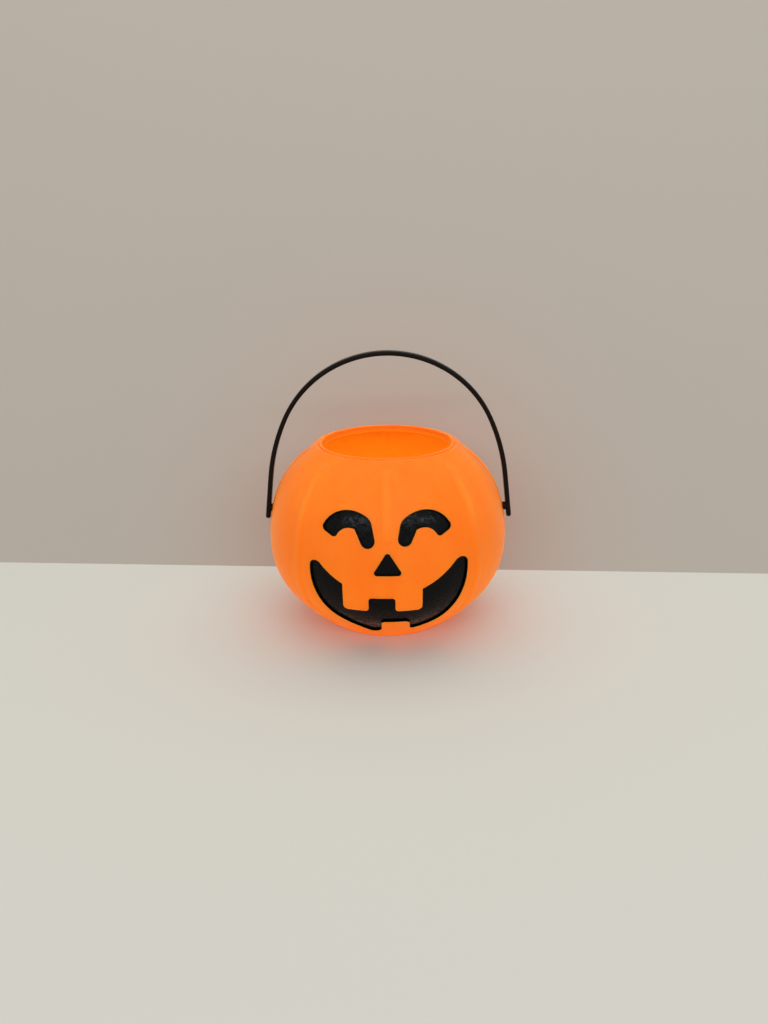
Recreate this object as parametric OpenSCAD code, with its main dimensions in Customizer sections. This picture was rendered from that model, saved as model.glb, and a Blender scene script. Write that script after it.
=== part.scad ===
// Pumpkin candy pail: a thin blow-moulded orange shell with a sunk, black-painted face
// and a one-piece black carrying handle that snaps into two side holes and swings.
// Millimetres. Z up, the face looks along -Y, the swing axis of the handle runs along X.
// The origin is the centre of the foot, on the surface that the pail stands on.

/* [Body] */
// Diameter of the belly between the ribs
belly_d = 69.6; // [64:0.1:76]
// Height of the widest ring of the belly
belly_z = 24.7; // [22:0.1:27]
// Bend radius of the wall below the belly
low_r = 22.6; // [20:0.1:25]
// Turn of the wall from the belly down to the straight flare
low_deg = 49; // [45:0.5:53]
// Bend radius of the wall just above the belly
mid_r = 40.2; // [34:0.1:46]
// Turn of the wall through that upper bend
mid_deg = 19.5; // [15:0.5:24]
// Bend radius of the shoulder
top_r = 27.4; // [24:0.1:31]
// Turn at which the shoulder runs straight to the rim
top_deg = 48.8; // [45:0.1:53]
// Rounding of the foot edge
foot_round = 2; // [1.8:0.1:3]
// Thickness of the moulded wall
wall_t = 0.9; // [0.6:0.05:1.1]
// Radius of the hollow pushed up into the foot
dish_r = 14; // [10:0.5:15]
// Height of that hollow in its middle
dish_h = 0.6; // [0.3:0.1:1]
// Length of the pinched mould seam under the foot
seam_l = 19; // [8:1:20]
// Width of that seam
seam_w = 0.8; // [0.4:0.1:1.5]
// How far the seam stays above the standing surface
seam_lift = 0.12; // [0.05:0.01:0.25]

/* [Rim] */
// Rise of the lip edge over the middle of the bead
lip_rise = 1.12; // [0.9:0.02:2]
// Inner diameter of the opening
mouth_d = 37.3; // [35:0.1:39]
// Thickness of the upright lip
lip_t = 0.95; // [0.9:0.05:1.2]
// Rounding of the lip edges
lip_round = 0.4; // [0.2:0.05:0.44]
// Radius of the rolled bead outside the lip
bead_r = 0.8; // [0.6:0.05:1]
// Share of that radius that the bead stands clear of the lip
bead_share = 0.75; // [0.6:0.05:0.85]

/* [Ribs] */
// Number of upright ribs round the shell
rib_count = 8; // [8:4:8]
// Radius of the rounded section of a rib
rib_r = 3.5; // [3.2:0.1:3.9]
// How far a rib stands above the wall
rib_rise = 0.4; // [0.2:0.05:0.5]
// Height at which the end of a rib is centred above the foot
rib_foot_z = 4.6; // [4.2:0.1:7]
// How far a rib goes on beyond the turn of the shoulder
rib_over_deg = 3; // [1:0.5:4]
// Turn above the belly where the front rib ends over the nose
front_rib_deg = 16.4; // [15.5:0.1:18.5]

/* [Face] */
// Depth of the sunk face below the wall
face_d = 0.7; // [0.5:0.05:0.8]
// Thickness of the black paint on the sunk floor and its walls
paint_t = 0.12; // [0.08:0.01:0.2]
// Bare margin between the paint and the moulded walls
paint_gap = 0.03; // [0.02:0.01:0.06]
// How far below the outer wall the paint on the sunk walls ends
paint_edge = 0.05; // [0.04:0.01:0.2]
// Bend centre of the eye arch out from the middle
eye_x = 9.65; // [9.3:0.05:10.2]
// Bend centre height of the eye arch
eye_z = 34.4; // [34:0.05:34.9]
// Outer radius of the eye arch
eye_out_r = 8.15; // [7.8:0.05:8.4]
// Inner radius of the eye arch
eye_in_r = 3.9; // [3.6:0.02:4.2]
// Direction of the cut-off outer end of the arch
eye_end_deg = 29; // [26:0.5:32]
// Direction up to which the arch reaches over the inner leg
eye_leg_deg = 132; // [129:1:134]
// Corner radius of the outer end
eye_corner_r = 1.15; // [0.8:0.05:1.3]
// Bend radius from the arch into the edge of the inner leg
eye_knee_r = 3; // [2:0.1:4]
// Rounded end of the left inner leg out from the middle
leg_x = 5.05; // [4.9:0.05:5.3]
// Height of the centre of that rounded end
leg_z = 35.3; // [35:0.05:35.6]
// Radius of the rounded ends of both inner legs
leg_r = 1.92; // [1.75:0.01:2]
// How much nearer the middle the right leg ends
right_leg_in = 0.25; // [0:0.05:0.4]
// How much higher the right leg ends
right_leg_up = 0.5; // [0:0.05:0.8]
// Lean from upright of the leg edge next to the middle
leg_in_deg = 11; // [9:0.5:13]
// Lean from upright of the other leg edge
leg_out_deg = 24; // [22:0.5:27]
// Middle of the nose, out to the right
nose_x = 0.15; // [-0.3:0.05:0.5]
// Height of the nose point before rounding
nose_top_z = 32.9; // [32.4:0.05:33.4]
// Height of the lower edge of the nose
nose_low_z = 26.15; // [25.7:0.05:26.6]
// Half width of the nose before rounding
nose_half_w = 4.25; // [3.9:0.05:4.6]
// Corner radius of the nose
nose_round = 0.8; // [0.5:0.05:1]

/* [Smile] */
// Radius of the lower edge of the smile on the right
lip_b_r = 22.4; // [22:0.05:22.8]
// Bend centre of that edge, out to the right
lip_b_x = -0.7; // [-1.1:0.05:-0.3]
// Height of that bend centre
lip_b_z = 26.05; // [25.6:0.05:26.5]
// Radius of the lower edge of the smile on the left
lip_a_r = 19.35; // [19:0.05:19.7]
// Bend centre of that edge, out to the right
lip_a_x = -1.45; // [-1.8:0.05:-1.1]
// Height of that bend centre
lip_a_z = 25.95; // [25.5:0.05:26.4]
// Low point that the straight lower left edge runs to, out to the right
keel_x = -3.5; // [-3.8:0.05:-3.2]
// Height of that low point
keel_z = 3; // [2.8:0.05:3.6]
// Radius of the edge between there and the lower tooth
keel_r = 2.15; // [1.8:0.05:2.5]
// Corner radius on the other side of the lower tooth
heel_r = 1.1; // [0.8:0.05:1.5]
// Radius of the upper edge of the smile
upper_r = 24.3; // [23.9:0.1:24.7]
// Height of its bend centre
upper_z = 44.4; // [44:0.1:44.8]
// Radius of the rounded left corner of the smile
tip_a_r = 1.65; // [1.3:0.05:1.9]
// Radius of its rounded right corner
tip_b_r = 1.95; // [1.6:0.05:2.2]
// Outer side of the left upper tooth
tooth_a_out = -11.9; // [-12.5:0.1:-11.2]
// Inner side of the left upper tooth
tooth_a_in = -5.05; // [-5.6:0.05:-4.5]
// Inner side of the right upper tooth
tooth_b_in = 2.15; // [1.6:0.05:2.7]
// Outer side of the right upper tooth
tooth_b_out = 9.35; // [8.8:0.05:10]
// Height of the lower edge of the upper teeth
tooth_z = 14.95; // [14.5:0.05:15.5]
// Height of the top of the gap between the upper teeth
tooth_gap_z = 19.5; // [19:0.05:19.8]
// Left side of the lower tooth
low_tooth_x0 = -1.7; // [-2.2:0.05:-1.2]
// Right side of the lower tooth
low_tooth_x1 = 6.05; // [5.6:0.05:6.5]
// Height of the top of the lower tooth
low_tooth_z = 10.15; // [9.7:0.05:10.6]
// Corner radius at the outer sides of the upper teeth and on the right of the lower tooth
tooth_out_r = 1.35; // [1:0.05:1.6]
// Corner radius of all other tooth corners
tooth_in_r = 0.95; // [0.7:0.05:1.2]

/* [Handle] */
// Height of the swing axis over the widest ring of the belly
pivot_rise = 8.7; // [8:0.1:9.3]
// Thickness of the handle strip
strip_t = 1.32; // [1.1:0.02:1.4]
// Width of the handle strip
strip_w = 2.6; // [2.5:0.1:4]
// Rounding of the strip edges
strip_round = 0.45; // [0.3:0.01:0.54]
// Gap between the strip and the rib beside it, at the swing axis
leg_gap = 0.57; // [0.45:0.01:1]
// How far the loose handle has slid along its pegs, to the right
handle_slide = 0.25; // [-0.25:0.05:0.25]
// Height of the middle of the strip at the top of the arch
arch_top_z = 78.73; // [75:0.1:84]
// Direction at which the top arch goes over into the side bend
arch_deg = 25.2; // [22:0.2:28]
// Radius of the slack side bend
side_r = 55.6; // [50:0.2:65]
// Outward lean of the straight legs
leg_lean_deg = 6.8; // [6:0.1:7.5]
// How far the strip reaches below the swing axis
strip_below = 3.3; // [2.5:0.1:4]
// Diameter of the pegs
peg_d = 2.4; // [1.8:0.05:2.5]
// Running clearance of a peg in its hole, on the radius
peg_gap = 0.05; // [0.02:0.01:0.1]
// Diameter of the barbed peg head inside the shell
head_d = 3.4; // [3:0.1:3.8]
// Diameter of the tip of that head
head_tip_d = 1.7; // [1:0.1:2]
// Length of that head
head_l = 1.7; // [1.2:0.1:2.2]
// Play between the head and the inside of the rib
head_play = 1.25; // [1:0.05:1.6]

/* [Hidden] */
$fn = 72;
over = 3;
// Rounded parts are drawn this much proud of the straight parts that run into them
hair = 0.006;
belly_r = belly_d / 2;
lip_in_r = mouth_d / 2;
lip_out_r = lip_in_r + lip_t;
rib_in = rib_r - rib_rise;
far_r = belly_r + 2 * over;
face_back = belly_r / 3;

function polar(c, r, a) = [c[0] + r * cos(a), c[1] + r * sin(a)];
function unit(v) = v / norm(v);
// Where two circles cross, on the right-hand side going from the first to the second
function cross_pt(c0, r0, c1, r1) =
    let (v = c1 - c0, d = norm(v), e = v / d, a = (d * d + r0 * r0 - r1 * r1) / (2 * d),
         h = sqrt(r0 * r0 - a * a))
    c0 + a * e + h * [-e[1], e[0]];
// Direction from a circle centre to where the outer common tangent touches it
function tangent_dir(c0, r0, c1, r1) =
    let (v = c1 - c0, d = norm(v), e = v / d, k = (r0 - r1) / d)
    k * e + sqrt(1 - k * k) * [e[1], -e[0]];
// Where a line from p along d leaves a circle
function on_circle(p, d, c, r) = let (v = p - c, b = v * d) p + (sqrt(r * r - v * v + b * b) - b) * d;

low_c = [belly_r - low_r, belly_z];
mid_c = [belly_r - mid_r, belly_z];
top_c = polar(mid_c, mid_r - top_r, mid_deg);
foot_c = [low_c[0] + (low_r - foot_round + sin(low_deg) * (foot_round - belly_z)) / cos(low_deg),
          foot_round];
bead_x = lip_out_r + bead_share * bead_r;
// The shoulder bends no further than to the level of the bead that it runs into
bead_in = bead_x - top_c[0];
shoulder_deg = min(top_deg, acos((bead_in + sqrt(bead_in * bead_in + 4 * top_r * bead_r)) / (2 * top_r)));
bead_c = [bead_x, top_c[1] + (top_r - bead_r - cos(shoulder_deg) * (bead_x - top_c[0]))
                  / sin(shoulder_deg)];
under_z = bead_c[1] - wall_t;
body_h = bead_c[1] + lip_rise;
shoulder_run = (body_h + over - top_c[1] - top_r * sin(shoulder_deg)) / cos(shoulder_deg);
// A rib ends a little beyond the bend of the shoulder, and at the latest where it touches the bead
bead_v = bead_c - top_c;
rib_c_r = top_r - rib_in;
rib_end_deg = min(shoulder_deg + rib_over_deg,
                  atan2(bead_v[1], bead_v[0])
                  - acos((bead_v * bead_v + rib_c_r * rib_c_r - pow(rib_r + bead_r, 2))
                         / (2 * norm(bead_v) * rib_c_r)));
dish_ball_r = (dish_r * dish_r + dish_h * dish_h) / (2 * dish_h);

FEATURES = ["left_eye", "right_eye", "nose", "smile"];
eye_c = [eye_x, eye_z];
upper_c = [0, upper_z];
lip_a_c = [lip_a_x, lip_a_z];
lip_b_c = [lip_b_x, lip_b_z];
keel = [keel_x, keel_z];
keel_dir = tangent_dir(lip_a_c, lip_a_r, keel, 0);
keel_fill_x = low_tooth_x0 - keel_r;
keel_fill_c = [keel_fill_x, keel_z - (keel_r + keel_dir[0] * (keel_fill_x - keel_x)) / keel_dir[1]];
heel_fill_x = low_tooth_x1 + heel_r - lip_b_x;
heel_fill_c = lip_b_c + [heel_fill_x, -sqrt(pow(lip_b_r - heel_r, 2) - heel_fill_x * heel_fill_x)];

// The swing axis, and the outer face of the side ribs where it goes through
pivot_z = belly_z + pivot_rise;
rib_face_x = mid_c[0] + sqrt(mid_r * mid_r - pivot_rise * pivot_rise) + rib_rise;
head_x = rib_face_x - wall_t - head_play;
strip_at_pivot = rib_face_x + leg_gap + strip_t / 2;
lean = tan(leg_lean_deg);
// Bend radius of the top arch that brings the legs to their place at the swing axis
arch_r = (strip_at_pivot - (arch_top_z - pivot_z) * lean
          - side_r * (cos(leg_lean_deg) - cos(arch_deg) + (sin(leg_lean_deg) - sin(arch_deg)) * lean))
         / (cos(arch_deg) - (1 - sin(arch_deg)) * lean);
arch_c = [0, arch_top_z - arch_r];
side_c = polar(arch_c, arch_r - side_r, arch_deg);
leg_top = polar(side_c, side_r, leg_lean_deg);
leg_dir = [sin(leg_lean_deg), -cos(leg_lean_deg)];
leg_len = (leg_top[1] - (pivot_z - strip_below)) / cos(leg_lean_deg) - strip_w / 2;
lap_deg = 0.3;

// Outline of half the shell, taken in from the outer wall by d
module half_outline(d) {
    mid_end = polar(mid_c, mid_r - d, mid_deg);
    top_end = polar(top_c, top_r - d, shoulder_deg);
    intersection() {
        translate([0, d]) square([far_r, bead_c[1] - d]);
        union() {
            polygon([[0, 0], [foot_c[0], d], polar(foot_c, foot_round - d, -low_deg),
                     polar(low_c, low_r - d, -low_deg), [belly_r - d, belly_z], mid_end, top_end,
                     top_end + shoulder_run * [-sin(shoulder_deg), cos(shoulder_deg)],
                     [0, body_h + over]]);
            translate(foot_c) circle(r = foot_round - d + hair);
            translate(low_c) circle(r = low_r - d + hair);
            intersection() {
                translate(mid_c) circle(r = mid_r - d);
                translate([0, belly_z]) square([far_r, mid_end[1] - belly_z]);
            }
            translate(top_c) circle(r = top_r - d + hair);
        }
    }
}

// The full form of the shell, taken in from the outer wall by d
module shell_form(d) rotate_extrude() half_outline(d);

// The full outer form, with the bead and the upright lip
module outer_form() {
    bead_end = polar(bead_c, bead_r, shoulder_deg);
    rotate_extrude() {
        intersection() {
            half_outline(0);
            square([far_r, max(bead_c[1] - bead_r, top_c[1] + top_r * sin(shoulder_deg))]);
        }
        polygon([[0, belly_z], [top_c[0], belly_z], polar(top_c, top_r, shoulder_deg), bead_end,
                 [lip_out_r, bead_c[1]], [lip_out_r, body_h - lip_round],
                 [lip_out_r - lip_round, body_h], [0, body_h]]);
        translate(bead_c) circle(r = bead_r + hair);
        translate([lip_out_r - lip_round, body_h - lip_round]) circle(r = lip_round + hair);
    }
}

// The hollow inside, without the ribs, the sunk face and the dished foot
module inner_form() {
    rotate_extrude() {
        intersection() {
            half_outline(wall_t);
            square([far_r, under_z]);
        }
        translate([0, under_z - wall_t]) square([lip_in_r, body_h + over - under_z]);
        difference() {
            translate([0, body_h - lip_round]) square([lip_in_r + lip_round, lip_round + over]);
            translate([lip_in_r + lip_round, body_h - lip_round]) circle(r = lip_round + hair);
        }
    }
}

// A bent length of a rib, with a ball at its start
module rib_bend(c, r, a0, a1, tube_r) {
    rib_ball(polar(c, r, a0), tube_r);
    translate([c[0], 0, c[1]]) rotate([90, 0, 0]) rotate([0, 0, a0])
        rotate_extrude(angle = a1 - a0) translate([r, 0]) circle(r = tube_r);
}

module rib_ball(p, tube_r) translate([p[0], 0, p[1]]) sphere(r = tube_r + hair);

// The upper part of a rib, from a turn above the belly to just under the bead
module rib_upper(from_deg, tube_r) {
    rib_bend(mid_c, mid_r - rib_in, from_deg, mid_deg, tube_r);
    rib_bend(top_c, rib_c_r, mid_deg, rib_end_deg, tube_r);
    rib_ball(polar(top_c, rib_c_r, rib_end_deg), tube_r);
}

// A whole rib from the foot to the shoulder
module rib_full(tube_r) {
    low_end = polar(low_c, low_r - rib_in, -low_deg);
    run = (low_end[1] - rib_foot_z) / cos(low_deg);
    foot_end = low_end - run * [sin(low_deg), cos(low_deg)];
    rib_ball(foot_end, tube_r);
    translate([foot_end[0], 0, foot_end[1]]) rotate([0, low_deg, 0]) cylinder(r = tube_r, h = run);
    rib_bend(low_c, low_r - rib_in, -low_deg, 0, tube_r);
    rib_upper(0, tube_r);
}

// All ribs: whole ones round the shell, a short one over the nose
module ribs(tube_r) {
    for (i = [1:rib_count - 1])
        rotate([0, 0, -90 + i * 360 / rib_count]) rib_full(tube_r);
    rotate([0, 0, -90]) rib_upper(front_rib_deg, tube_r);
}

// Fills a corner of a sunk outline outside the circle that rounds it, between two directions
module corner_fill(c, r, dir0, dir1) {
    reach = r + over;
    translate(c) difference() {
        polygon([[0, 0], reach * dir0, 2 * reach * unit(dir0 + dir1), reach * dir1]);
        circle(r = r + hair);
    }
}

// An eye, seen from the front on the right side, with its inner leg ending at leg_c, widened by g
module eye_outline(leg_c, g) {
    step = (eye_leg_deg - eye_end_deg) / 3;
    in_dir = [-cos(leg_in_deg), sin(leg_in_deg)];
    in_up = [sin(leg_in_deg), cos(leg_in_deg)];
    in_p = leg_c + (leg_r + g) * in_dir;
    out_p = polar(leg_c, leg_r + g, -leg_out_deg);
    knee_c = on_circle(leg_c + (leg_r - eye_knee_r) * in_dir, in_up, eye_c, eye_out_r - eye_knee_r);
    difference() {
        intersection() {
            translate(eye_c) circle(r = eye_out_r + g);
            union() {
                difference() {
                    polygon(concat([eye_c],
                                   [for (i = [0:3]) polar(eye_c, 2 * eye_out_r, eye_end_deg + i * step)]));
                    translate(eye_c) circle(r = eye_in_r - g);
                }
                // inner leg, running up into the arch
                polygon([in_p, leg_c, out_p,
                         out_p + (eye_in_r + leg_r / 3) * [sin(leg_out_deg), cos(leg_out_deg)],
                         in_p + (eye_in_r + 2 * leg_r) * in_up]);
            }
        }
        corner_fill(knee_c, eye_knee_r + g, unit(knee_c - eye_c), in_dir);
    }
    translate(leg_c) circle(r = leg_r + g + hair);
    // outer end with its two rounded corners
    translate(eye_c) rotate(eye_end_deg) {
        for (r = [eye_in_r + eye_corner_r, eye_out_r - eye_corner_r])
            translate([r, 0]) circle(r = eye_corner_r + g + hair);
        translate([eye_in_r + eye_corner_r, -eye_corner_r - g])
            square([eye_out_r - eye_in_r - 2 * eye_corner_r, 2 * (eye_corner_r + g)]);
    }
}

// The nose, seen from the front, widened by g
module nose_outline(g) {
    half_deg = atan(nose_half_w / (nose_top_z - nose_low_z));
    top_p = [0, nose_top_z - nose_round / sin(half_deg)];
    side_x = nose_half_w - nose_round / tan((90 - half_deg) / 2);
    r = nose_round + g;
    translate([nose_x, 0]) {
        for (p = [top_p, [side_x, nose_low_z + nose_round], [-side_x, nose_low_z + nose_round]])
            translate(p) circle(r = r + hair);
        polygon([top_p + r * [cos(half_deg), sin(half_deg)], top_p + r * [-cos(half_deg), sin(half_deg)],
                 [-side_x, nose_low_z + nose_round] + r * [-cos(half_deg), sin(half_deg)],
                 [-side_x, nose_low_z - g], [side_x, nose_low_z - g],
                 [side_x, nose_low_z + nose_round] + r * [cos(half_deg), sin(half_deg)]]);
    }
}

// A tooth between two sides, standing on the height z0 and rounded at that end
module tooth(x0, x1, z0, r0, r1, g, far) {
    q0 = max(r0 - g, tooth_in_r / 5);
    q1 = max(r1 - g, tooth_in_r / 5);
    translate([x0 + g + q0, z0 + g + q0]) circle(r = q0 + hair);
    translate([x1 - g - q1, z0 + g + q1]) circle(r = q1 + hair);
    polygon([[x0 + g, z0 + g + q0], [x0 + g + q0, z0 + g], [x1 - g - q1, z0 + g],
             [x1 - g, z0 + g + q1], [x1 - g, far], [x0 + g, far]]);
}

// The space above the lower edge of the smile: a straight edge and a bend on the left, a bend on the right
module lip_outline(g) {
    split_x = (low_tooth_x0 + low_tooth_x1) / 2;
    low_p = keel + g * keel_dir;
    intersection() {
        translate([split_x, 0]) square([far_r, upper_z]);
        translate(lip_b_c) circle(r = lip_b_r + g);
    }
    intersection() {
        translate([split_x + over / 2 - far_r, 0]) square([far_r, upper_z]);
        union() {
            translate(lip_a_c) circle(r = lip_a_r + g + hair);
            polygon([lip_a_c, lip_a_c + (lip_a_r + g) * keel_dir, low_p,
                     [split_x + over, low_p[1]], [split_x + over, lip_a_z]]);
        }
    }
}

// Centre of the rounded outer corner of the smile, between its upper edge and a lower bend
function tip_c(lip_c, lip_r, r) = cross_pt(upper_c, upper_r + r, lip_c, lip_r - r);

// The outer corner of the smile is cut off where its rounding starts
module tip_cut(lip_c, lip_r, r, g) {
    c = tip_c(lip_c, lip_r, r);
    a = c + (r + g) * unit(upper_c - c);
    b = c + (r + g) * unit(c - lip_c);
    in_a = a + r / 3 * unit(a - b);
    polygon([in_a, b + far_r * unit(b - a), [far_r, upper_z], [in_a[0], upper_z]]);
}

// The smile with its teeth, seen from the front, widened by g
module smile_outline(g) {
    mirror_a_c = [-lip_a_x, lip_a_z];
    tip_a = tip_c(mirror_a_c, lip_a_r, tip_a_r);
    tip_b = tip_c(lip_b_c, lip_b_r, tip_b_r);
    difference() {
        lip_outline(g);
        translate(upper_c) circle(r = upper_r - g);
        tip_cut(lip_b_c, lip_b_r, tip_b_r, g);
        mirror([1, 0]) tip_cut(mirror_a_c, lip_a_r, tip_a_r, g);
        tooth(tooth_a_out, tooth_a_in, tooth_z, tooth_out_r, tooth_in_r, g, upper_z);
        tooth(tooth_b_in, tooth_b_out, tooth_z, tooth_in_r, tooth_out_r, g, upper_z);
        translate([tooth_a_in - over / 2, tooth_gap_z + g])
            square([tooth_b_in - tooth_a_in + over, upper_z - tooth_gap_z]);
        corner_fill([tooth_a_in + tooth_in_r, tooth_gap_z - tooth_in_r], tooth_in_r + g, [0, 1], [-1, 0]);
        corner_fill([tooth_b_in - tooth_in_r, tooth_gap_z - tooth_in_r], tooth_in_r + g, [1, 0], [0, 1]);
        mirror([0, 1]) tooth(low_tooth_x0, low_tooth_x1, -low_tooth_z, tooth_in_r, tooth_out_r, g, over);
        corner_fill(keel_fill_c, keel_r + g, keel_dir, [1, 0]);
        corner_fill(heel_fill_c, heel_r + g, [-1, 0], unit(heel_fill_c - lip_b_c));
    }
    translate([-tip_a[0], tip_a[1]]) circle(r = tip_a_r + g + hair);
    translate(tip_b) circle(r = tip_b_r + g + hair);
}

// The outline of one sunk feature by its name, widened by g
module feature_outline(name, g) {
    if (name == "left_eye") mirror([1, 0]) eye_outline([leg_x, leg_z], g);
    if (name == "right_eye") eye_outline([leg_x - right_leg_in, leg_z + right_leg_up], g);
    if (name == "nose") nose_outline(g);
    if (name == "smile") smile_outline(g);
}

// A block running back from in front of the face, cut to the outline drawn under it
module face_block() translate([0, -face_back, 0]) rotate([90, 0, 0]) linear_extrude(far_r) children();

// The space of sunk features, down to the floor at depth d
module sink(d) {
    difference() {
        face_block() children();
        shell_form(d);
    }
}

module face_sinks(g, d) {
    sink(d) for (name = FEATURES) feature_outline(name, g);
}

// The hollow with the rib channels; the wall follows the sunk face and the dished foot
module cavity() {
    difference() {
        union() {
            inner_form();
            ribs(rib_r - wall_t);
        }
        face_sinks(wall_t, wall_t + face_d);
        translate([0, 0, dish_h - dish_ball_r]) sphere(r = dish_ball_r + wall_t);
    }
}

module foot_hollow() {
    difference() {
        translate([0, 0, dish_h - dish_ball_r]) sphere(r = dish_ball_r);
        translate([-seam_l / 2, -seam_w / 2, seam_lift]) cube([seam_l, seam_w, over]);
    }
}

module pail_body() {
    color([0.98, 0.5, 0.14])
    difference() {
        union() {
            outer_form();
            ribs(rib_r);
        }
        cavity();
        face_sinks(0, face_d);
        foot_hollow();
        for (k = [0, 1])
            mirror([k, 0, 0]) translate([head_x - over, 0, pivot_z]) rotate([0, 90, 0])
                cylinder(d = peg_d + 2 * peg_gap, h = 3 * over);
    }
}

// A coat of paint on the floor and the walls of a sunk feature
module paint_coat(name) {
    color([0.06, 0.06, 0.07])
    difference() {
        intersection() {
            face_block() feature_outline(name, -paint_gap);
            shell_form(paint_edge);
        }
        shell_form(face_d);
        sink(face_d - paint_t) feature_outline(name, -paint_gap - paint_t);
    }
}

module left_eye_paint() paint_coat("left_eye");

module right_eye_paint() paint_coat("right_eye");

module nose_paint() paint_coat("nose");

module mouth_paint() paint_coat("smile");

// Section of the strip: thickness along the first axis, width along the second
module strip_section(g) {
    dx = strip_t / 2 - strip_round;
    dy = strip_w / 2 - strip_round;
    square([strip_t + 2 * g, 2 * dy], center = true);
    square([2 * dx, strip_w + 2 * g], center = true);
    for (x = [-dx, dx], y = [-dy, dy])
        translate([x, y]) circle(r = strip_round + g + hair / 2);
}

module strip_bend(c, r, a0, a1, g) {
    translate([c[0], 0, c[1]]) rotate([90, 0, 0]) rotate([0, 0, a0])
        rotate_extrude(angle = a1 - a0) translate([r, 0]) strip_section(g);
}

// A leg from the side bend down to its rounded tip
module strip_leg() {
    tip = leg_top + leg_len * leg_dir;
    translate([leg_top[0], 0, leg_top[1]]) rotate([0, 180 - leg_lean_deg, 0])
        linear_extrude(leg_len) strip_section(0);
    translate([tip[0], 0, tip[1]]) rotate([0, 90 - leg_lean_deg, 0])
        rotate_extrude() intersection() {
            rotate(90) strip_section(hair);
            translate([0, -strip_t]) square([strip_w, 2 * strip_t]);
        }
}

// A peg with its barbed head, turning in the side hole
module peg() {
    translate([head_x - head_l / 2, 0, pivot_z]) rotate([0, 90, 0])
        cylinder(d = peg_d, h = strip_at_pivot - head_x + head_l / 2);
    translate([head_x - head_l, 0, pivot_z]) rotate([0, 90, 0])
        cylinder(d1 = head_tip_d, d2 = head_d, h = head_l);
}

module handle() {
    color([0.07, 0.065, 0.06]) translate([handle_slide, 0, 0]) {
        strip_bend(arch_c, arch_r, arch_deg, 180 - arch_deg, 0);
        for (k = [0, 1])
            mirror([k, 0, 0]) {
                strip_bend(side_c, side_r, leg_lean_deg - lap_deg, arch_deg + lap_deg, hair);
                strip_leg();
                peg();
            }
    }
}

pail_body();
handle();
left_eye_paint();
right_eye_paint();
nose_paint();
mouth_paint();
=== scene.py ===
"""Looks, light and camera for the pumpkin candy pail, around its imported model."""

import math

import bpy
from mathutils import Matrix, Vector

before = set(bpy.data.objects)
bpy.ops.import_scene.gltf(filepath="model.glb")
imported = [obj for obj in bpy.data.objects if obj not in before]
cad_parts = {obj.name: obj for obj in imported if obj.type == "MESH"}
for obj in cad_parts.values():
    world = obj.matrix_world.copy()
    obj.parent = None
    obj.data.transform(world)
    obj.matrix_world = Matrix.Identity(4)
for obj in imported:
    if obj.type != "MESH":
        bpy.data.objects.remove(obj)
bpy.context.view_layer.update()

MM = 0.001
RIBS = 8
BELLY_MIDDLE = (0, 0, 24.7 * MM)
STAGE_SIZE = 3.0


# Colours and nodes

def colour(text):
    """A linear RGBA colour from an sRGB hex value."""
    parts = [int(text[i:i + 2], 16) / 255 for i in (1, 3, 5)]
    return [p / 12.92 if p <= 0.04045 else ((p + 0.055) / 1.055) ** 2.4 for p in parts] + [1.0]


def noise_scale(across):
    """The scale of a noise whose light and dark patches are each about so far across."""
    return 1 / (2 * across)


def add_node(tree, kind, inputs=None, **settings):
    """A new node with its settings; an input is a value, or a socket that is linked to it."""
    made = tree.nodes.new(kind)
    for name, value in settings.items():
        setattr(made, name, value)
    for key, value in (inputs or {}).items():
        if isinstance(value, bpy.types.NodeSocket):
            tree.links.new(value, made.inputs[key])
        else:
            made.inputs[key].default_value = value
    return made


def new_material(name):
    """A material without any nodes yet, and its node tree."""
    material = bpy.data.materials.new(name)
    material.use_nodes = True
    material.node_tree.nodes.clear()
    return material, material.node_tree


def give(node_name, material):
    """Puts a material on a CAD node."""
    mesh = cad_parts[node_name].data
    mesh.materials.clear()
    mesh.materials.append(material)


# Finishes of the shell and the handle

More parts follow.
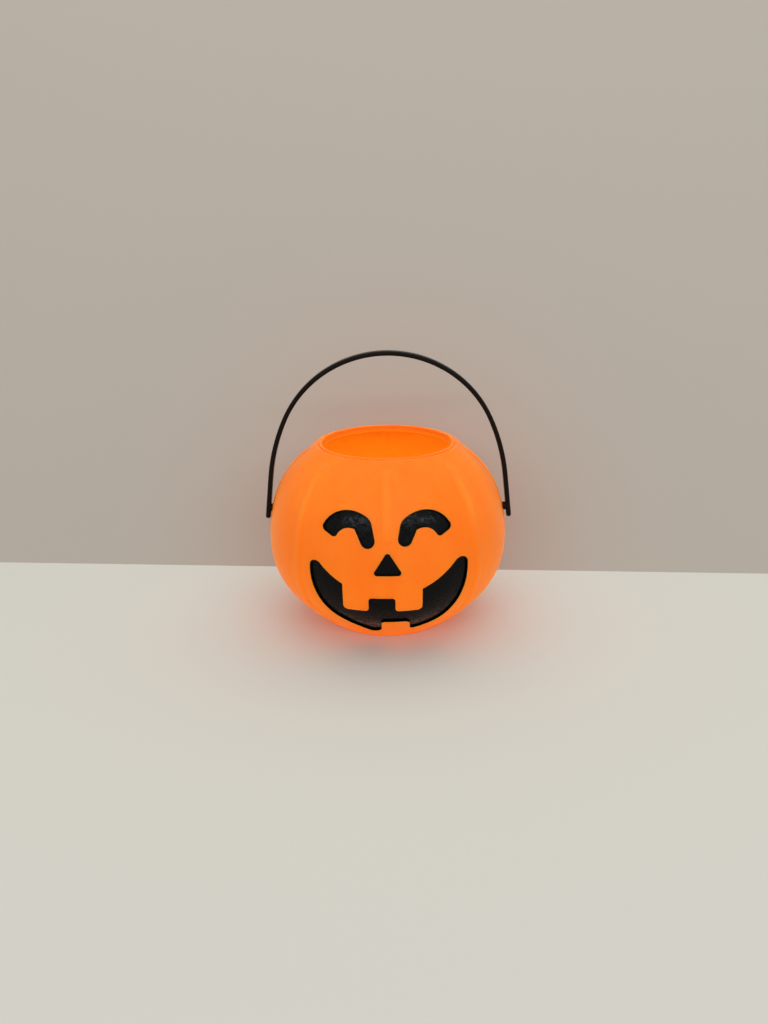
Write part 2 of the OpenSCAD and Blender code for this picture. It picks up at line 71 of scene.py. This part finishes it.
def painted_rib_highlight(tree, place, split):
    """Mask of the painted highlight: 1 along the rib crests on the shoulder, softly 0 beside, above and
    below.
    """
    around = add_node(tree, "ShaderNodeMath", {0: split.outputs["Y"], 1: split.outputs["X"]},
                      operation="ARCTAN2")
    turns = add_node(tree, "ShaderNodeMath", {0: around.outputs[0], 1: float(RIBS)},
                     operation="MULTIPLY")
    wave = add_node(tree, "ShaderNodeMath", {0: turns.outputs[0]}, operation="COSINE")
    fall = add_node(tree, "ShaderNodeMath", {0: 1.0, 1: wave.outputs[0]}, operation="SUBTRACT")
    turned_off = add_node(tree, "ShaderNodeMath", {0: fall.outputs[0], 1: 0.5}, operation="POWER")
    level = add_node(tree, "ShaderNodeVectorMath", {0: place, 1: (1.0, 1.0, 0.0)},
                     operation="MULTIPLY")
    radius = add_node(tree, "ShaderNodeVectorMath", {0: level.outputs[0]}, operation="LENGTH")
    # near a rib this is the way from its middle, times the factor below
    off_crest = add_node(tree, "ShaderNodeMath",
                         {0: turned_off.outputs[0], 1: radius.outputs["Value"]},
                         operation="MULTIPLY")
    factor = RIBS / math.sqrt(2)
    crest = add_node(tree, "ShaderNodeMapRange",
                     {"Value": off_crest.outputs[0], "From Min": factor * 0.4 * MM,
                      "From Max": factor * 1.8 * MM, "To Min": 1.0, "To Max": 0.0},
                     interpolation_type="SMOOTHSTEP")
    # the shoulder, where light from above catches the ribs, goes from 35 mm up to the neck at 50 mm, and
    # the highlight fades towards both
    up_shoulder = add_node(tree, "ShaderNodeMapRange",
                           {"Value": split.outputs["Z"], "From Min": 35 * MM, "From Max": 50 * MM})
    shoulder = add_node(tree, "ShaderNodeValToRGB", {"Fac": up_shoulder.outputs["Result"]})
    for end in shoulder.color_ramp.elements:
        end.color = colour("#000000")
    for share in (0.35, 0.8):
        shoulder.color_ramp.elements.new(share).color = colour("#FFFFFF")
    on_rib = add_node(tree, "ShaderNodeMath",
                      {0: crest.outputs["Result"], 1: shoulder.outputs["Color"]},
                      operation="MULTIPLY")
    return on_rib.outputs[0]


def inside_below_rim(tree, coordinates, split):
    """1 on the inside of the shell, whose faces look to the middle of the belly, and 0 outside.

    It fades out up the lip."""
    from_middle = add_node(tree, "ShaderNodeVectorMath",
                           {0: coordinates.outputs["Object"], 1: BELLY_MIDDLE},
                           operation="SUBTRACT")
    facing = add_node(tree, "ShaderNodeVectorMath",
                      {0: from_middle.outputs[0], 1: coordinates.outputs["Normal"]},
                      operation="DOT_PRODUCT")
    inside = add_node(tree, "ShaderNodeMapRange",
                      {"Value": facing.outputs["Value"], "From Min": -3 * MM, "From Max": 1 * MM,
                       "To Min": 1.0, "To Max": 0.0}, interpolation_type="SMOOTHSTEP")
    below_rim = add_node(tree, "ShaderNodeMapRange",
                         {"Value": split.outputs["Z"], "From Min": 49 * MM, "From Max": 53.5 * MM,
                          "To Min": 1.0, "To Max": 0.0}, interpolation_type="SMOOTHSTEP")
    hollow = add_node(tree, "ShaderNodeMath",
                      {0: inside.outputs["Result"], 1: below_rim.outputs["Result"]},
                      operation="MULTIPLY")
    return hollow.outputs[0]


def painted_glow_through_wall(tree, split, hollow):
    """Painted glow, as emission, for light through the thin wall: by height, outside and in the hollow."""
    height = add_node(tree, "ShaderNodeMapRange",
                      {"Value": split.outputs["Z"], "From Min": 1 * MM, "From Max": 28 * MM})
    # painted glow: the light that fell into the hollow is drawn leaving by the shaded underside
    outer = add_node(tree, "ShaderNodeValToRGB", {"Fac": height.outputs["Result"]})
    outer.color_ramp.elements[0].color = colour("#A84706")
    outer.color_ramp.elements[1].color = colour("#5A2504")
    # painted shade: the inner glow is weaker towards the bottom of the hollow, where less light reaches
    inner = add_node(tree, "ShaderNodeValToRGB", {"Fac": height.outputs["Result"]})
    inner.color_ramp.elements[0].color = colour("#3C1E03")
    inner.color_ramp.elements[1].color = colour("#824407")
    glow = add_node(tree, "ShaderNodeMix",
                    {0: hollow, 6: outer.outputs["Color"], 7: inner.outputs["Color"]},
                    data_type="RGBA")
    return glow.outputs[2]


def parting_line(tree, split, full_to, gone_at, skin):
    """A fine raised line along Y = 0, where the two halves of a mould meet, on a skin's bump."""
    off_line = add_node(tree, "ShaderNodeMath", {0: split.outputs["Y"]}, operation="ABSOLUTE")
    line = add_node(tree, "ShaderNodeMapRange",
                    {"Value": off_line.outputs[0], "From Min": full_to, "From Max": gone_at,
                     "To Min": 1.0, "To Max": 0.0}, interpolation_type="SMOOTHSTEP")
    raised = add_node(tree, "ShaderNodeBump",
                      {"Height": line.outputs["Result"], "Strength": 1.0, "Distance": 0.05 * MM,
                       "Normal": skin.outputs[0]})
    return raised.outputs[0]


# Materials

def blow_moulded_polyethylene():
    """Blow-moulded low-density polyethylene with a day-glow orange pigment.

    It is waxy and satin. Light goes through the thin wall, and that is painted: the hollow is tinted more
    yellow, a weak emission makes the shaded underside glow, and the rib crests on the shoulder get a
    painted highlight.
    The melt leaves faint upright streaks and a soft orange peel, and the two mould halves meet in a fine
    raised line through the two handle holes."""
    material, tree = new_material("blow_moulded_polyethylene")
    coordinates = add_node(tree, "ShaderNodeTexCoord")
    place = coordinates.outputs["Object"]
    split = add_node(tree, "ShaderNodeSeparateXYZ", {0: place})

    # upright streaks about 2.5 mm wide and ten times as long
    long_way = add_node(tree, "ShaderNodeMapping", {"Vector": place, "Scale": (1.0, 1.0, 0.1)})
    streaks = add_node(tree, "ShaderNodeTexNoise",
                       {"Vector": long_way.outputs[0], "Scale": noise_scale(2.5 * MM),
                        "Detail": 2.0, "Roughness": 0.5})
    # clouds of pigment about 12 mm across
    clouds = add_node(tree, "ShaderNodeTexNoise",
                      {"Vector": place, "Scale": noise_scale(12 * MM), "Detail": 3.0,
                       "Roughness": 0.55})
    both = add_node(tree, "ShaderNodeMath", {0: streaks.outputs["Fac"], 1: clouds.outputs["Fac"]},
                    operation="ADD")
    spread = add_node(tree, "ShaderNodeMapRange",
                      {"Value": both.outputs[0], "From Min": 0.7, "From Max": 1.3})
    pigment = add_node(tree, "ShaderNodeValToRGB", {"Fac": spread.outputs["Result"]})
    pigment.color_ramp.elements[0].color = colour("#FF7810")
    pigment.color_ramp.elements[1].color = colour("#FF831C")

    # painted highlight: the rib crests on the shoulder are drawn lighter, where light from above catches
    # them
    rib_highlighted = add_node(tree, "ShaderNodeMix",
                         {0: painted_rib_highlight(tree, place, split), 6: pigment.outputs["Color"],
                          7: colour("#FF8820")}, data_type="RGBA")
    # painted light: the inside is tinted more yellow, for the light that comes through the wall
    hollow = inside_below_rim(tree, coordinates, split)
    tint = add_node(tree, "ShaderNodeMix",
                    {0: hollow, 6: rib_highlighted.outputs[2], 7: colour("#F2BA1E")}, data_type="RGBA")

    # blow moulding leaves no sharp corner, so the creases at ribs and sunk edges are eased
    eased = add_node(tree, "ShaderNodeBevel", {"Radius": 0.15 * MM}, samples=4)
    # orange peel about 0.7 mm across
    peel = add_node(tree, "ShaderNodeTexNoise",
                    {"Vector": place, "Scale": noise_scale(0.7 * MM), "Detail": 2.0,
                     "Roughness": 0.5})
    skin = add_node(tree, "ShaderNodeBump",
                    {"Height": peel.outputs["Fac"], "Strength": 0.25, "Distance": 0.03 * MM,
                     "Normal": eased.outputs[0]})
    # the satin is a little duller in some clouds than in others
    rough = add_node(tree, "ShaderNodeMapRange",
                     {"Value": clouds.outputs["Fac"], "From Min": 0.3, "From Max": 0.7,
                      "To Min": 0.4, "To Max": 0.5})

    shader = add_node(tree, "ShaderNodeBsdfPrincipled",
                      {"Base Color": tint.outputs[2], "Roughness": rough.outputs["Result"],
                       "Normal": parting_line(tree, split, 0.04 * MM, 0.16 * MM, skin),
                       "IOR": 1.51, "Specular IOR Level": 0.13,
                       "Subsurface Weight": 1.0, "Subsurface Radius": (1.0, 0.5, 0.2),
                       "Subsurface Scale": 0.7 * MM,
                       "Emission Color": painted_glow_through_wall(tree, split, hollow),
                       "Emission Strength": 1.0})
    add_node(tree, "ShaderNodeOutputMaterial", {"Surface": shader.outputs[0]})
    return material


def moulded_polypropylene():
    """Black injection-moulded polypropylene.

    It has a dull satin skin from the fine spark grain of the mould, and a raised hairline along the
    middle of the strip, where the mould halves meet."""
    material, tree = new_material("moulded_polypropylene")
    place = add_node(tree, "ShaderNodeTexCoord").outputs["Object"]
    split = add_node(tree, "ShaderNodeSeparateXYZ", {0: place})

    # spark grain about 0.25 mm across, drawn coarse enough to show
    grain = add_node(tree, "ShaderNodeTexNoise",
                     {"Vector": place, "Scale": noise_scale(0.25 * MM), "Detail": 3.0,
                      "Roughness": 0.6})
    skin = add_node(tree, "ShaderNodeBump",
                    {"Height": grain.outputs["Fac"], "Strength": 0.35, "Distance": 0.03 * MM})
    # worn and handled patches about 6 mm across are a little shinier
    wear = add_node(tree, "ShaderNodeTexNoise",
                    {"Vector": place, "Scale": noise_scale(6 * MM), "Detail": 2.0,
                     "Roughness": 0.5})
    rough = add_node(tree, "ShaderNodeMapRange",
                     {"Value": wear.outputs["Fac"], "From Min": 0.35, "From Max": 0.65,
                      "To Min": 0.34, "To Max": 0.46})
    tone = add_node(tree, "ShaderNodeValToRGB", {"Fac": wear.outputs["Fac"]})
    tone.color_ramp.elements[0].color = colour("#0F0A05")
    tone.color_ramp.elements[1].color = colour("#160E08")

    shader = add_node(tree, "ShaderNodeBsdfPrincipled",
                      {"Base Color": tone.outputs["Color"], "Roughness": rough.outputs["Result"],
                       "Normal": parting_line(tree, split, 0.03 * MM, 0.14 * MM, skin),
                       "IOR": 1.49, "Specular IOR Level": 0.1})
    add_node(tree, "ShaderNodeOutputMaterial", {"Surface": shader.outputs[0]})
    return material


def sprayed_black_paint():
    """Black paint, sprayed through a mask into the sunk face.

    It dries glossy with an orange peel of its own, mottled by overspray, and is a little browner where
    it is thin."""
    material, tree = new_material("sprayed_black_paint")
    place = add_node(tree, "ShaderNodeTexCoord").outputs["Object"]

    # droplets that ran together, about 0.7 mm across
    peel = add_node(tree, "ShaderNodeTexNoise",
                    {"Vector": place, "Scale": noise_scale(0.7 * MM), "Detail": 2.5,
                     "Roughness": 0.55})
    skin = add_node(tree, "ShaderNodeBump",
                    {"Height": peel.outputs["Fac"], "Strength": 1.0, "Distance": 0.1 * MM})
    # overspray that landed half dry leaves dull specks about 0.6 mm across between the glossy ones
    specks = add_node(tree, "ShaderNodeTexNoise",
                      {"Vector": place, "Scale": noise_scale(0.6 * MM), "Detail": 2.0,
                       "Roughness": 0.6})
    rough = add_node(tree, "ShaderNodeMapRange",
                     {"Value": specks.outputs["Fac"], "From Min": 0.4, "From Max": 0.6,
                      "To Min": 0.1, "To Max": 0.45})
    # thin and thick places about 3.5 mm across
    thin = add_node(tree, "ShaderNodeTexNoise",
                    {"Vector": place, "Scale": noise_scale(3.5 * MM), "Detail": 2.0,
                     "Roughness": 0.5})
    tone = add_node(tree, "ShaderNodeValToRGB", {"Fac": thin.outputs["Fac"]})
    tone.color_ramp.elements[0].color = colour("#020203")
    tone.color_ramp.elements[1].color = colour("#070504")

    shader = add_node(tree, "ShaderNodeBsdfPrincipled",
                      {"Base Color": tone.outputs["Color"], "Roughness": rough.outputs["Result"],
                       "Normal": skin.outputs[0], "IOR": 1.5, "Specular IOR Level": 0.1})
    add_node(tree, "ShaderNodeOutputMaterial", {"Surface": shader.outputs[0]})
    return material


# Stage, light and camera

def pale_floor():
    """A plain pale floor under the pail."""
    bpy.ops.object.select_all(action="DESELECT")
    bpy.ops.mesh.primitive_plane_add(size=STAGE_SIZE, location=(0, 0, 0))
    floor = bpy.context.object
    floor.name = "floor"
    material, tree = new_material("pale_floor")
    shader = add_node(tree, "ShaderNodeBsdfPrincipled",
                      {"Base Color": colour("#CDCBC2"), "Roughness": 0.9, "Specular IOR Level": 0.2})
    add_node(tree, "ShaderNodeOutputMaterial", {"Surface": shader.outputs[0]})
    floor.data.materials.append(material)


def grey_backdrop():
    """A plain sheet that leans close behind the pail. It shows only from its front, and shades nothing."""
    bpy.ops.object.select_all(action="DESELECT")
    bpy.ops.mesh.primitive_plane_add(size=STAGE_SIZE)
    wall = bpy.context.object
    wall.name = "backdrop"
    foot = Matrix.Translation((0, 31 * MM, 0))
    turn = Matrix.Rotation(math.radians(-3.2), 4, "Z")
    lean = Matrix.Rotation(math.radians(77), 4, "X")
    wall.matrix_world = foot @ turn @ lean @ Matrix.Translation((0, STAGE_SIZE / 2, 0))

    material, tree = new_material("grey_backdrop")
    shader = add_node(tree, "ShaderNodeBsdfPrincipled",
                      {"Base Color": colour("#B8AFA4"), "Roughness": 0.9, "Specular IOR Level": 0.2})
    clear = add_node(tree, "ShaderNodeBsdfTransparent")
    side = add_node(tree, "ShaderNodeNewGeometry")
    shown = add_node(tree, "ShaderNodeMixShader",
                     {0: side.outputs["Backfacing"], 1: shader.outputs[0], 2: clear.outputs[0]})
    add_node(tree, "ShaderNodeOutputMaterial", {"Surface": shown.outputs[0]})
    wall.data.materials.append(material)
    wall.visible_shadow = wall.visible_diffuse = wall.visible_glossy = False
    wall.visible_transmission = False


def softbox(name, place, aim, width, height, power, tint):
    """A large soft lamp that looks at a point."""
    data = bpy.data.lights.new(name, "AREA")
    data.shape, data.size, data.size_y, data.energy = "RECTANGLE", width, height, power
    data.color = colour(tint)[:3]
    lamp = bpy.data.objects.new(name, data)
    lamp.location = place
    lamp.rotation_euler = (Vector(aim) - Vector(place)).to_track_quat("-Z", "Y").to_euler()
    bpy.context.scene.collection.objects.link(lamp)


def studio_light():
    """Even room light, with a large lamp overhead and a wide, low, cool one in front."""
    world = bpy.data.worlds.new("room")
    world.use_nodes = True
    world.node_tree.nodes.clear()
    room = add_node(world.node_tree, "ShaderNodeBackground",
                    {"Color": colour("#FFFDFA"), "Strength": 0.7})
    add_node(world.node_tree, "ShaderNodeOutputWorld", {"Surface": room.outputs[0]})
    bpy.context.scene.world = world
    softbox("lamp_overhead", place=(0.03, 0.06, 0.45), aim=(0, 0, 0), width=0.6, height=0.6,
            power=0.85, tint="#FFF9F2")
    softbox("lamp_front", place=(0.04, -0.75, 0.48), aim=(0, 0, 0.04), width=1.6, height=0.08,
            power=3.1, tint="#DDF0FF")


def photograph_camera():
    """The camera of the photograph: 232 mm in front, 114 mm up, looking 19.6 degrees down."""
    place = (1.71 * MM, -232.4 * MM, 114.4 * MM)
    turn, down, roll = math.radians(0.67), math.radians(19.6), math.radians(0.7)
    focal_pixels, picture_height_pixels = 828, 1024

    ahead = Vector((-math.sin(turn) * math.cos(down), math.cos(turn) * math.cos(down), -math.sin(down)))
    right = Vector((math.cos(turn), math.sin(turn), 0))
    up = right.cross(ahead)
    rolled_right = right * math.cos(roll) - up * math.sin(roll)
    rolled_up = right * math.sin(roll) + up * math.cos(roll)

    data = bpy.data.cameras.new("camera")
    # on an upright picture the sensor's width lies along the height
    data.sensor_width = 36.0
    data.lens = data.sensor_width * focal_pixels / picture_height_pixels
    data.clip_start, data.clip_end = 0.01, 20.0
    camera = bpy.data.objects.new("camera", data)
    camera.matrix_world = (Matrix.Translation(place)
                           @ Matrix((rolled_right, rolled_up, -ahead)).transposed().to_4x4())
    bpy.context.scene.collection.objects.link(camera)
    bpy.context.scene.camera = camera


photograph_camera()
give("pail_body", blow_moulded_polyethylene())
give("handle", moulded_polypropylene())
paint = sprayed_black_paint()
for film in ("left_eye_paint", "right_eye_paint", "nose_paint", "mouth_paint"):
    give(film, paint)
pale_floor()
grey_backdrop()
studio_light()
bpy.context.scene.view_settings.view_transform = "Standard"
